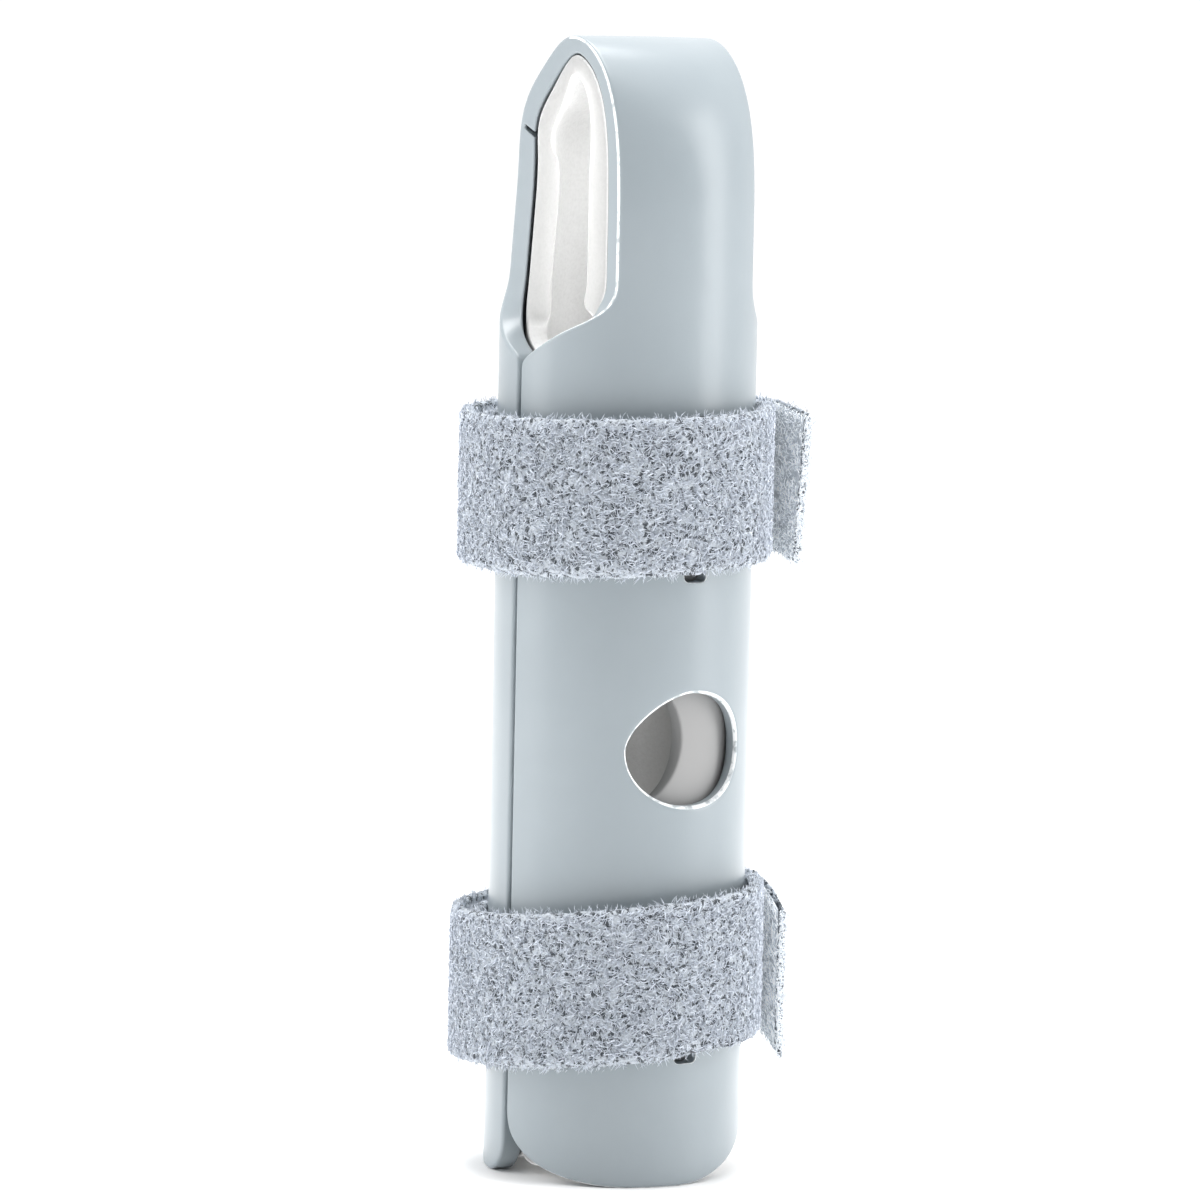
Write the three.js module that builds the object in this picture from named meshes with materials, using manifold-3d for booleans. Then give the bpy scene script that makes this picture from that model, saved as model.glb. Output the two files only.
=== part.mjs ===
// A full-length finger splint: one folded shell, a foam lining and two wound hook-and-loop straps.
// Millimetres, +Z up. The tube's axis is the Z axis, the open end stands on z = 0,
// the front is at -Y, and both straps' free tails lie at +X.
import * as THREE from "three";
import { mergeVertices } from "three/addons/utils/BufferGeometryUtils.js";
import Module from "manifold-3d";

// Shell
const splintLength = 94.5;
const tubeRadius = 10.7;
const frontWall = 1.4;
const backWall = 1.9;
const seamGap = 0.4;
const bandHalfWidth = 6.7;

// Tip: a quarter ellipse in front, a ridge, a slope and a shoulder arc behind
const archHeight = 13;
const ridgeSetback = 0.5;
const ridgeRadius = 4.2;
const slopeAngle = 33;
const shoulderArcRadius = 8.5;
const backLean = 6.7;
const backLeanDrop = 22.5;

// Side cut-outs: how far below the tip they turn outwards, and their two fillets
const cutoutTop = 21.8;
const cutoutFall = 3.2;
const cutoutInnerFillet = 3;
const cutoutOuterFillet = 4;

// The angles off the centre line between which the edges, level on the band, turn square to the wall
const levelEdgeAngle = 39;
const squareEdgeAngle = 52;

// Living hinge: a groove inside the back of the band
const hingeGrooveWidth = 0.7;
const hingeSkinShare = 0.35;
const hingeAlongShoulder = 0.66;
const grooveSide = 0.01;

// Rounded lower corners, each from a start angle off the centre line to the seam. With both powers
// at 2 a corner is a quarter ellipse. A lower first power makes it rise sooner, and a second power
// of 1 keeps it from steepening at the seam.
const lowerCorners = {
  frontLeft: { startAngle: 25, rise: 5.2, power: 2, closingPower: 2 },
  frontRight: { startAngle: 0, rise: 7.9, power: 1.6, closingPower: 1 },
  backLeft: { startAngle: 72, rise: 2.5, power: 2, closingPower: 2 },
  backRight: { startAngle: 72, rise: 2.5, power: 2, closingPower: 2 },
  lining: { startAngle: 78, rise: 1.2, power: 2, closingPower: 2 },
};
const cornersEnd = 9;

// Inspection hole in the front, flatter at its upper left
const holeHeight = 36.2;
const holeHalfWidth = 5.4;
const holeHalfHeight = 4.65;
const holeRoundness = { upperRight: 2.1, upperLeft: 1.65, lowerLeft: 2.1, lowerRight: 2.1 };

// Lining
const liningThickness = 1.5;
const liningGap = 0.3;
const liningFoot = 1;
const liningHoleTurn = -31;
const liningHoleHeight = 36.9;
const liningHoleHalfWidth = 4.6;
const liningHoleHalfHeight = 5.5;
const liningHoleRoundness = { upperRight: 2, upperLeft: 2, lowerLeft: 2, lowerRight: 2 };

// Straps
const strapWidth = 12.7;
const strapThickness = 1.25;
const endThickness = 0.55;
const strapGap = 0.3;
const anchorAngle = 30;
const slotWidth = 2.2;
const slotAbove = 0.25;
const slotBelow = 0.75;
const pocketClearance = 0.9;
const pocketMarginAngle = 6;
const bendRadius = 0.8;
const hookThickness = 0.3;
const hookGap = 0.05;
const hookInset = 0.4;
const plyRise = 0.5;
const upperHeight = 57.3;
const upperTail = 7.2;
const upperTailSkew = 1.3;
const upperTailDrop = 1.1;
const lowerHeight = 16.7;
const lowerTail = 5.7;
const lowerTailSkew = 0.1;
const lowerTailDrop = 3.3;
// tilt: how far a strap rises towards +X. pitch: how far it rises towards the front. Both in degrees.
const straps = [
  {
    name: "upper", height: upperHeight, tilt: 2.4, pitch: 0,
    tail: upperTail, tailSkew: upperTailSkew, tailDrop: upperTailDrop,
  },
  {
    name: "lower", height: lowerHeight, tilt: 4.4, pitch: 4.3,
    tail: lowerTail, tailSkew: lowerTailSkew, tailDrop: lowerTailDrop,
  },
];
// Turns from the slot at which a winding strap has its flat end behind it, rises to its second ply's
// height, climbs onto its own first ply, thins to its tail, carries hooks and leaves the tube
const winding = {
  start: 0.02, full: 0.05, rise: 0.55, climb: 0.86, climbed: 0.975,
  thin: 1.6, thinned: 1.65, hooks: 1.66, leave: 1.75,
};

// Facets: how many steps each curve takes
const steps = {
  columns: 18, turn: 40, arch: 8, ridge: 2, cutoutFillet: 4, ovalQuarter: 9,
  anchor: 3, bend: 3, tail: 3, pocket: 6,
};

const wasm = await Module();
wasm.setup();

const rad = THREE.MathUtils.degToRad;
const smooth = (x, a, b) => THREE.MathUtils.smoothstep(x, a, b);
const archStart = splintLength - archHeight;

// A closed solid in manifold form from a geometry, and back
function toManifold(geometry) {
  const bare = geometry.index ? geometry.clone() : geometry;
  for (const name of Object.keys(bare.attributes)) {
    if (name !== "position") bare.deleteAttribute(name);
  }
  const merged = mergeVertices(bare, 1e-4);
  return new wasm.Manifold(new wasm.Mesh({
    numProp: 3,
    vertProperties: new Float32Array(merged.attributes.position.array),
    triVerts: new Uint32Array(merged.index.array),
  }));
}

function toGeometry(solid) {
  const mesh = solid.getMesh();
  const geometry = new THREE.BufferGeometry();
  geometry.setAttribute("position", new THREE.BufferAttribute(mesh.vertProperties, 3));
  geometry.setIndex(new THREE.BufferAttribute(mesh.triVerts, 1));
  geometry.computeVertexNormals();
  return geometry;
}

// A closed sheet from two grids of points, outer and inner, each a list of rows
function closedSheet(outer, inner) {
  const rows = outer.length;
  const across = outer[0].length;
  const points = [...outer.flat(), ...inner.flat()];
  const out = (i, j) => i * across + j;
  const inn = (i, j) => rows * across + i * across + j;
  const index = [];
  const quad = (a, b, c, d) => index.push(a, b, c, a, c, d);
  for (let i = 0; i < rows - 1; i++) {
    for (let j = 0; j < across - 1; j++) {
      quad(out(i, j), out(i, j + 1), out(i + 1, j + 1), out(i + 1, j));
      quad(inn(i, j), inn(i + 1, j), inn(i + 1, j + 1), inn(i, j + 1));
    }
    quad(out(i, 0), out(i + 1, 0), inn(i + 1, 0), inn(i, 0));
    quad(out(i, across - 1), inn(i, across - 1), inn(i + 1, across - 1), out(i + 1, across - 1));
  }
  for (let j = 0; j < across - 1; j++) {
    quad(out(0, j), inn(0, j), inn(0, j + 1), out(0, j + 1));
    quad(out(rows - 1, j), out(rows - 1, j + 1), inn(rows - 1, j + 1), inn(rows - 1, j));
  }
  return bufferOf(points, index);
}

function bufferOf(points, index) {
  const geometry = new THREE.BufferGeometry().setFromPoints(points);
  geometry.setIndex(index);
  return geometry;
}

// The half width of the shell at a corner of the cut-out, as rows of { width, height } from top to foot
function cutoutRows() {
  const corner = new THREE.Vector2(bandHalfWidth, splintLength - cutoutTop);
  const foot = new THREE.Vector2(tubeRadius, splintLength - cutoutTop - cutoutFall);
  const slant = foot.clone().sub(corner).normalize();
  const down = new THREE.Vector2(0, -1);
  const turn = Math.acos(slant.dot(down));
  const rows = [];
  const fillet = (at, before, radius, side) => {
    const tangent = radius * Math.tan(turn / 2);
    const start = at.clone().addScaledVector(before, -tangent);
    const centre = start.clone().add(new THREE.Vector2(-before.y, before.x).multiplyScalar(side * radius));
    const arm = start.sub(centre);
    for (let k = 0; k <= steps.cutoutFillet; k++) {
      const angle = side * turn * k / steps.cutoutFillet;
      const p = arm.clone().rotateAround(new THREE.Vector2(), angle).add(centre);
      rows.push({ width: Math.min(p.x, tubeRadius), height: p.y });
    }
  };
  fillet(corner, down, cutoutInnerFillet, 1);
  fillet(foot, slant, cutoutOuterFillet, -1);
  return rows;
}

// The tube's centre line from the front's lower edge over the tip to the back's, as stations.
// y, z: the outer skin at x = 0. ny, nz: the way inwards. width: half the width.
function stations() {
  const list = [];
  const add = (part, y, z, ny, nz, width) => list.push({ part, y, z, ny, nz, width });
  const cutout = cutoutRows();
  add("front", -tubeRadius, 0, 1, 0, tubeRadius);
  add("front", -tubeRadius, cornersEnd, 1, 0, tubeRadius);
  for (const row of [...cutout].reverse()) add("front", -tubeRadius, row.height, 1, 0, row.width);
  const reach = tubeRadius + ridgeSetback - ridgeRadius * Math.sin(rad(slopeAngle)) / 2;
  const archEnd = reach - tubeRadius;
  for (let k = 0; k <= steps.arch; k++) {
    const t = Math.PI / 2 * k / steps.arch;
    const n = new THREE.Vector2(Math.cos(t) / reach, -Math.sin(t) / archHeight).normalize();
    const y = archEnd - reach * Math.cos(t);
    add("front", y, archStart + archHeight * Math.sin(t), n.x, n.y, bandHalfWidth);
  }
  const ridge = new THREE.Vector2(archEnd, splintLength - ridgeRadius);
  const alongArc = (centre, radius, angle, skin) => {
    const out = new THREE.Vector2(Math.sin(rad(angle)), Math.cos(rad(angle)));
    add(skin, centre.x + radius * out.x, centre.y + radius * out.y, -out.x, -out.y, bandHalfWidth);
  };
  for (let k = 1; k <= steps.ridge; k++) alongArc(ridge, ridgeRadius, slopeAngle * k / steps.ridge, "back");
  const slopeStart = new THREE.Vector2(list.at(-1).y, list.at(-1).z);
  const slope = new THREE.Vector2(Math.cos(rad(slopeAngle)), -Math.sin(rad(slopeAngle)));
  const bendHeight = splintLength - backLeanDrop;
  const bend = new THREE.Vector2(tubeRadius, bendHeight);
  const lean = new THREE.Vector2(-Math.sin(rad(backLean)), Math.cos(rad(backLean)));
  const across = bend.clone().sub(slopeStart);
  const cross = slope.x * lean.y - slope.y * lean.x;
  const slopeLength = (across.x * lean.y - across.y * lean.x) / cross;
  const arcTurn = 90 - backLean - slopeAngle;
  const tangent = shoulderArcRadius * Math.tan(rad(arcTurn) / 2);
  const arcStart = slopeStart.clone().addScaledVector(slope, slopeLength - tangent);
  const intoArc = new THREE.Vector2(-Math.sin(rad(slopeAngle)), -Math.cos(rad(slopeAngle)));
  const arcCentre = arcStart.clone().addScaledVector(intoArc, shoulderArcRadius);
  const arcLength = shoulderArcRadius * rad(arcTurn);
  const half = hingeGrooveWidth / 2 / arcLength;
  const edge = half + grooveSide / arcLength;
  const alongShoulder = (share, skin) => {
    alongArc(arcCentre, shoulderArcRadius, slopeAngle + arcTurn * share, skin);
  };
  for (const share of [0, 0.25, 0.5, hingeAlongShoulder - edge]) alongShoulder(share, "back");
  for (const share of [hingeAlongShoulder - half, hingeAlongShoulder + half]) alongShoulder(share, "groove");
  for (const share of [hingeAlongShoulder + edge, 0.85, 1]) alongShoulder(share, "back");
  const halfLean = rad(backLean / 2);
  let bent = false;
  for (const row of cutout) {
    const rise = row.height - bendHeight;
    if (rise > 0) {
      const y = tubeRadius - rise * Math.tan(rad(backLean));
      add("back", y, row.height, -Math.cos(rad(backLean)), -Math.sin(rad(backLean)), row.width);
    } else {
      if (!bent) add("back", tubeRadius, bendHeight, -Math.cos(halfLean), -Math.sin(halfLean), row.width);
      bent = true;
      add("back", tubeRadius, row.height, -1, 0, row.width);
    }
  }
  add("back", tubeRadius, cornersEnd, -1, 0, tubeRadius);
  add("back", tubeRadius, 0, -1, 0, tubeRadius);
  return list;
}

// How round the section is at a height: 1 on the tube, 0 along the tip's straight ridge
function crown(z) {
  const share = THREE.MathUtils.clamp((z - archStart) / archHeight, 0, 1);
  return 1 - share * share;
}

// Half the angle that a layer spans. A wide layer ends at the seam's gap.
function halfAngle(width, depth) {
  const radius = tubeRadius - depth;
  const square = Math.asin(Math.min(1, width / tubeRadius));
  const level = Math.asin(Math.min(1, width / radius));
  const turned = smooth(square, rad(levelEdgeAngle), rad(squareEdgeAngle));
  return Math.min(THREE.MathUtils.lerp(level, square, turned), Math.acos(seamGap / 2 / radius));
}

function place(station, angle, depth) {
  const radius = tubeRadius - depth;
  const drop = depth + crown(station.z) * radius * (1 - Math.cos(angle));
  return new THREE.Vector3(
    radius * Math.sin(angle),
    station.y + station.ny * drop,
    station.z + station.nz * drop,
  );
}

// How far an edge with rounded lower corners has risen at an angle off its centre line
function footRise(angle, corner) {
  const start = rad(corner.startAngle);
  const share = THREE.MathUtils.clamp((Math.abs(angle) - start) / (Math.PI / 2 - start), 0, 1);
  return corner.rise * (1 - (1 - share ** corner.power) ** (1 / corner.closingPower));
}

// A sheet that follows the splint between two depths. depths gives both for a station,
// foot the height of its lower edge for a side and an angle.
function followingSheet(list, depths, foot) {
  const layer = (which) => list.map((station, i) => {
    const depth = depths(station)[which];
    const half = halfAngle(station.width, depth);
    const row = [];
    for (let j = 0; j <= steps.columns; j++) {
      const share = 2 * j / steps.columns - 1;
      const angle = half * (share + Math.sin(share * Math.PI / 2)) / 2;
      const p = place(station, angle, depth);
      if (i === 0 || i === list.length - 1) p.z = foot(station.part, angle);
      row.push(p);
    }
    return row;
  });
  return closedSheet(layer(0), layer(1));
}

const wallAt = (station) => (station.part === "front" ? frontWall : backWall);

function shellFoot(part, angle) {
  return footRise(angle, lowerCorners[part + (angle < 0 ? "Left" : "Right")]);
}

// A cutter whose outline is drawn in X and Z, run along -Y past the front's wall
function frontCutter(shape, turn, height) {
  const start = tubeRadius / 3;
  const cutter = new THREE.ExtrudeGeometry(shape, { depth: tubeRadius, bevelEnabled: false });
  cutter.rotateX(Math.PI / 2);
  cutter.translate(0, -start, 0);
  cutter.rotateZ(rad(turn));
  cutter.translate(0, 0, height);
  return toManifold(cutter);
}

// An oval with its own roundness in each quarter: 2 is an ellipse, less is flatter
function ovalShape(halfWidth, halfHeight, roundness) {
  const quarters = [roundness.upperRight, roundness.upperLeft, roundness.lowerLeft, roundness.lowerRight];
  const points = [];
  quarters.forEach((power, q) => {
    for (let k = 0; k < steps.ovalQuarter; k++) {
      const t = Math.PI / 2 * (q + k / steps.ovalQuarter);
      const c = Math.cos(t);
      const s = Math.sin(t);
      points.push(new THREE.Vector2(
        halfWidth * Math.sign(c) * Math.abs(c) ** (2 / power),
        halfHeight * Math.sign(s) * Math.abs(s) ** (2 / power),
      ));
    }
  });
  return new THREE.Shape(points);
}

function slotShape() {
  const bottom = -strapWidth / 2 - slotBelow;
  const top = strapWidth / 2 + slotAbove;
  return new THREE.Shape([
    new THREE.Vector2(-slotWidth / 2, bottom),
    new THREE.Vector2(slotWidth / 2, bottom),
    new THREE.Vector2(slotWidth / 2, top),
    new THREE.Vector2(-slotWidth / 2, top),
  ]);
}

const slotPoint = { x: 0, y: -tubeRadius, turns: 0, run: 0 };

function shellSolid(list) {
  const depths = (station) => [0, station.part === "groove" ? backWall * hingeSkinShare : wallAt(station)];
  let solid = toManifold(followingSheet(list, depths, shellFoot));
  const hole = ovalShape(holeHalfWidth, holeHalfHeight, holeRoundness);
  solid = solid.subtract(frontCutter(hole, 0, holeHeight));
  for (const strap of straps) {
    solid = solid.subtract(frontCutter(slotShape(), 0, strapHeight(strap, slotPoint)));
  }
  return solid;
}

const anchorRadius = tubeRadius - frontWall - strapGap - endThickness / 2;
const liningOuter = (station) => wallAt(station) + liningGap;

// The pocket in the lining's outer face where a strap's anchored end lies
function anchorPocket(strap) {
  const outer = tubeRadius - frontWall - liningGap / 2;
  const inner = anchorRadius - endThickness / 2 - strapGap;
  const margin = rad(pocketMarginAngle);
  const from = -Math.asin(slotWidth / 2 / inner) - margin / 2;
  const to = rad(anchorAngle) + margin;
  const middle = strapHeight(strap, slotPoint);
  const half = strapWidth / 2 + pocketClearance;
  const wall = (radius) => {
    const rows = [];
    for (const z of [middle - half, middle + half]) {
      const row = [];
      for (let j = 0; j <= steps.pocket; j++) {
        const angle = from + (to - from) * j / steps.pocket;
        row.push(new THREE.Vector3(radius * Math.sin(angle), -radius * Math.cos(angle), z));
      }
      rows.push(row);
    }
    return rows;
  };
  return toManifold(closedSheet(wall(outer), wall(inner)));
}

function liningSolid(list) {
  const depths = (station) => [liningOuter(station), liningOuter(station) + liningThickness];
  const foot = (part, angle) => liningFoot + footRise(angle, lowerCorners.lining);
  let solid = toManifold(followingSheet(list.filter((s) => s.part !== "groove"), depths, foot));
  const hole = ovalShape(liningHoleHalfWidth, liningHoleHalfHeight, liningHoleRoundness);
  solid = solid.subtract(frontCutter(hole, liningHoleTurn, liningHoleHeight));
  for (const strap of straps) solid = solid.subtract(anchorPocket(strap));
  return solid;
}

const firstPlyRadius = tubeRadius + strapGap + strapThickness / 2;
const secondPlyRadius = firstPlyRadius + strapThickness + strapGap;

// A strap's centre line seen from above, from its anchored end to its tail:
// x, y, the way outwards nx, ny, the turns from the slot, and the run along the tail
function strapRoute(strap) {
  const route = [];
  const onCircle = (radius, turns) => {
    const angle = -2 * Math.PI * turns;
    const out = new THREE.Vector2(Math.sin(angle), -Math.cos(angle));
    route.push({ x: radius * out.x, y: radius * out.y, nx: out.x, ny: out.y, turns, run: 0 });
  };
  const anchorTurns = anchorAngle / 360;
  const bendTurns = bendRadius / anchorRadius / (2 * Math.PI);
  for (let k = 0; k < steps.anchor; k++) {
    onCircle(anchorRadius, -anchorTurns + (anchorTurns - bendTurns) * k / steps.anchor);
  }
  const bend = (cx, cy, fromAngle, sign, side) => {
    for (let k = 0; k <= steps.bend; k++) {
      const a = fromAngle + sign * Math.PI / 2 * k / steps.bend;
      const arm = new THREE.Vector2(Math.cos(a), Math.sin(a));
      route.push({
        x: cx + bendRadius * arm.x, y: cy + bendRadius * arm.y,
        nx: side * arm.x, ny: side * arm.y, turns: 0, run: 0,
      });
    }
  };
  bend(bendRadius, -anchorRadius - bendRadius, Math.PI / 2, 1, -1);
  bend(-bendRadius, -firstPlyRadius + bendRadius, 0, -1, 1);
  const start = bendRadius / firstPlyRadius / (2 * Math.PI);
  const count = Math.round((winding.leave - start) * steps.turn);
  for (let k = 1; k <= count; k++) {
    const turns = start + (winding.leave - start) * k / count;
    const climb = smooth(turns, winding.climb, winding.climbed);
    onCircle(THREE.MathUtils.lerp(firstPlyRadius, secondPlyRadius, climb), turns);
  }
  const last = route.at(-1);
  for (let k = 1; k <= steps.tail; k++) {
    const run = strap.tail * k / steps.tail;
    route.push({ ...last, y: last.y - run, run });
  }
  return route;
}

// Where a strap's middle runs at a point of its route: tilted, a little higher on the second ply,
// and dropping along the tail
function strapHeight(strap, point) {
  const share = point.run / strap.tail;
  return strap.height
    + point.x * Math.tan(rad(strap.tilt))
    - point.y * Math.tan(rad(strap.pitch))
    + plyRise * (smooth(point.turns, winding.rise, winding.climb) - 0.5)
    - strap.tailDrop * share * share;
}

// A ribbon between two offsets from the route, as a closed solid. The tail's end is cut on a skew.
function ribbon(route, strap, offsets, halfWidth) {
  const rows = (which) => route.map((point) => {
    const offset = offsets(point)[which];
    const middle = strapHeight(strap, point);
    return [-1, 1].map((end) => {
      const skew = end * strap.tailSkew / 2 * point.run / strap.tail;
      return new THREE.Vector3(
        point.x + point.nx * offset,
        point.y + point.ny * offset - skew,
        middle + end * halfWidth,
      );
    });
  });
  return closedSheet(rows(0), rows(1));
}

const thicknessAt = (point) => THREE.MathUtils.lerp(
  endThickness, strapThickness,
  smooth(point.turns, winding.start, winding.full) - smooth(point.turns, winding.thin, winding.thinned),
);

function strapSolid(strap) {
  const offsets = (point) => [thicknessAt(point) / 2, -thicknessAt(point) / 2];
  return toManifold(ribbon(strapRoute(strap), strap, offsets, strapWidth / 2));
}

function hookSolid(strap) {
  const route = strapRoute(strap).filter((point) => point.turns >= winding.hooks);
  const last = route.at(-1);
  route[route.length - 1] = { ...last, y: last.y + hookInset, run: last.run - hookInset };
  const top = -endThickness / 2 - hookGap;
  return toManifold(ribbon(route, strap, () => [top, top - hookThickness], strapWidth / 2 - hookInset));
}

const materials = {
  shell: new THREE.MeshStandardMaterial({ color: 0xb9c1c7, roughness: 0.42, metalness: 0 }),
  lining: new THREE.MeshStandardMaterial({ color: 0xe6e6e4, roughness: 0.95, metalness: 0 }),
  strap: new THREE.MeshStandardMaterial({ color: 0xbcc4cc, roughness: 0.95, metalness: 0 }),
  hooks: new THREE.MeshStandardMaterial({ color: 0xa9b1b9, roughness: 0.7, metalness: 0 }),
};

function part(name, solid, material) {
  const mesh = new THREE.Mesh(toGeometry(solid), material);
  mesh.name = name;
  return mesh;
}

const splint = new THREE.Group();
const list = stations();
splint.add(part("shell", shellSolid(list), materials.shell));
splint.add(part("lining", liningSolid(list), materials.lining));
for (const strap of straps) {
  splint.add(part(`${strap.name}_strap`, strapSolid(strap), materials.strap));
  splint.add(part(`${strap.name}_hook_patch`, hookSolid(strap), materials.hooks));
}

export default splint;
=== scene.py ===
# The looks of the finger splint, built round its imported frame. Lengths are in millimetres until a mesh
# is made, which turns them into metres.
import math

import bmesh
import bpy
import numpy as np
from mathutils import Matrix, Vector
from mathutils.geometry import delaunay_2d_cdt


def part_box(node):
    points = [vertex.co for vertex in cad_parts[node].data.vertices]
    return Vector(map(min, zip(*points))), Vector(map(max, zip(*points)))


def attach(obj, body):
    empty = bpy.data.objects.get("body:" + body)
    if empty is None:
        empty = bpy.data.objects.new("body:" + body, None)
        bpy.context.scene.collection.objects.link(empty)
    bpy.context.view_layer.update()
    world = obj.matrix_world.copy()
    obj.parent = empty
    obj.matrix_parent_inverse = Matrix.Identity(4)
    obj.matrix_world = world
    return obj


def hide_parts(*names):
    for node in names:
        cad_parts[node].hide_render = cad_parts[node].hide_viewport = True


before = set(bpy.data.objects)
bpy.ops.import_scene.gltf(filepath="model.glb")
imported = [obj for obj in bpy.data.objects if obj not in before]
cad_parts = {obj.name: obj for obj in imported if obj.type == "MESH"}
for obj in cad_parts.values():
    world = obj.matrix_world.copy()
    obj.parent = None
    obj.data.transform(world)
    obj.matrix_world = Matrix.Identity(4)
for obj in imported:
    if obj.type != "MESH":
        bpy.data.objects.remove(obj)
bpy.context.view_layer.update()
MM = 0.001


def size_of(node):
    low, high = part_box(node)
    return [c / MM for c in low], [c / MM for c in high]


# Sizes of the shell, read from the frame or repeated from the part
SHELL_LOW, SHELL_HIGH = size_of("shell")
RADIUS = (SHELL_HIGH[0] - SHELL_LOW[0]) / 2
LENGTH = SHELL_HIGH[2]
FRONT_WALL, BACK_WALL = 1.4, 1.9
SEAM_GAP = 0.4
BAND_HALF = 6.7
ARCH_HEIGHT = 13.0
ARCH_START = LENGTH - ARCH_HEIGHT
RIDGE_SETBACK, RIDGE_RADIUS = 0.5, 4.2
SLOPE = math.radians(33)
SHOULDER_RADIUS = 8.5
LEAN = math.radians(6.7)
LEAN_DROP = 22.5
CUTOUT_TOP, CUTOUT_FALL = 21.8, 3.2
CUTOUT_INNER_FILLET, CUTOUT_OUTER_FILLET = 3.0, 4.0
# The heights between which the back's side edges run out to the full width
BACK_FLARE = (68.0, 74.8)
GROOVE_WIDTH, GROOVE_SKIN, GROOVE_ALONG = 0.7, 0.35, 0.66
# Side edges are cut level up to LEVEL_EDGE, and square to the wall from SQUARE_EDGE on in front and from
# BACK_SQUARE_EDGE on behind. Walls of holes turn the same way between the two angles of HOLE_WALL_TURN.
LEVEL_EDGE, SQUARE_EDGE, BACK_SQUARE_EDGE = math.radians(39), math.radians(56), math.radians(76)
HOLE_WALL_TURN = (math.radians(30), math.radians(48))
# The lower corners: the angle where each starts, its rise, and the powers of its start and its end
CORNERS = {
    "front_left": (math.radians(25), 5.2, 2, 2),
    "front_right": (0, 7.9, 1.6, 1),
    "back": (math.radians(72), 2.5, 2, 2),
    "lining": (math.radians(78), 1.2, 2, 2),
}
HOLE_HEIGHT, HOLE_HALF_WIDTH, HOLE_HALF_HEIGHT = 36.2, 5.4, 4.65
HOLE_ROUNDNESS = (2.1, 1.65, 2.1, 2.1)

LINING_THICKNESS, LINING_GAP, LINING_FOOT = 1.5, 0.3, 1.0
LINING_HOLE_TURN, LINING_HOLE_HEIGHT = math.radians(-31), 36.9
LINING_HOLE_HALF_WIDTH, LINING_HOLE_HALF_HEIGHT = 4.6, 5.5

STRAP_WIDTH, STRAP_THICKNESS, END_THICKNESS = 12.7, 1.25, 0.55
STRAP_GAP = 0.3
ANCHOR_ANGLE = 30
SLOT_WIDTH, SLOT_ABOVE, SLOT_BELOW = 2.2, 0.2, 0.7
BEND_RADIUS = 0.8
HOOK_BACKING, HOOK_GAP, HOOK_INSET, HOOK_RADIUS = 0.12, 0.05, 0.4, 0.06
PLY_RISE = 0.5
STRAPS = {
    "upper": dict(height=57.3, tilt=2.4, pitch=0.0, tail=7.2, skew=1.3, drop=1.1, seed=11),
    "lower": dict(height=16.7, tilt=4.4, pitch=4.3, tail=5.7, skew=0.1, drop=3.3, seed=23),
}
# Where a strap changes on its way round, in turns from its slot
TURNS = {
    "start": 0.02, "full": 0.05, "rise": 0.55, "climb": 0.86, "climbed": 0.975,
    "thin": 1.6, "thinned": 1.65, "hooks": 1.66, "leave": 1.75,
}

# Sizes that only the scene has. Its foam sits closer to the front and is a little thicker.
SHELL_ROUND, HOLE_ROUND, SLOT_ROUND, FOAM_ROUND = 0.26, 0.4, 0.1, 0.2
FRONT_FOAM_GAP = 0.12
FOAM_THICKNESS = LINING_THICKNESS + LINING_GAP - 0.2
PATH_STEP, PATH_BLUR = 0.1, (36, 14)
OUTLINE_STEP, OUTLINE_BLUR = 0.4, (12, 4)
GRID_PITCH, CURVED_ROW_STEP, STRAIGHT_ROW_STEP = 0.7, 0.5, 1.2
GROOVE_ROW_STEP = 0.085
PILE_DEPTH = 0.12
FIBRES = dict(loops=16000, fuzz=5500, edge=3200, lint=3600, end=1800)
FIRST_FIBRE = 0.72


def smoothstep(x, a, b):
    t = np.clip((np.asarray(x, float) - a) / (b - a), 0, 1)
    return t * t * (3 - 2 * t)


def lerp(a, b, t):
    return a + (b - a) * t


def bell(reach, spread):
    """The steps from -reach to reach and the weights that blur a curve over them."""
    steps = np.arange(-reach, reach + 1)
    weights = np.exp(-(steps / spread) ** 2 / 2)
    return steps, weights / weights.sum()


# The shell's shape

def rounded_corner(at, before, after, radius, steps):
    """Points round a corner between two unit directions."""
    turn = math.acos(max(-1, min(1, before @ after)))
    side = math.copysign(1, before[0] * after[1] - before[1] * after[0])
    start = at - before * radius * math.tan(turn / 2)
    centre = start + side * radius * np.array([-before[1], before[0]])
    points = []
    for k in range(steps + 1):
        c, s = math.cos(side * turn * k / steps), math.sin(side * turn * k / steps)
        arm = start - centre
        points.append(centre + np.array([c * arm[0] - s * arm[1], s * arm[0] + c * arm[1]]))
    return points


def cutout_curve():
    """The shell's half width over height, through the side cut-out's two fillets."""
    corner = np.array([BAND_HALF, LENGTH - CUTOUT_TOP])
    foot = np.array([RADIUS, LENGTH - CUTOUT_TOP - CUTOUT_FALL])
    slant = (foot - corner) / np.linalg.norm(foot - corner)
    down = np.array([0.0, -1.0])
    curve = rounded_corner(corner, down, slant, CUTOUT_INNER_FILLET, 24)
    curve += rounded_corner(foot, slant, down, CUTOUT_OUTER_FILLET, 24)
    curve = np.array(curve)[::-1]
    return curve[:, 1], curve[:, 0]


CUTOUT_Z, CUTOUT_X = cutout_curve()


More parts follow.
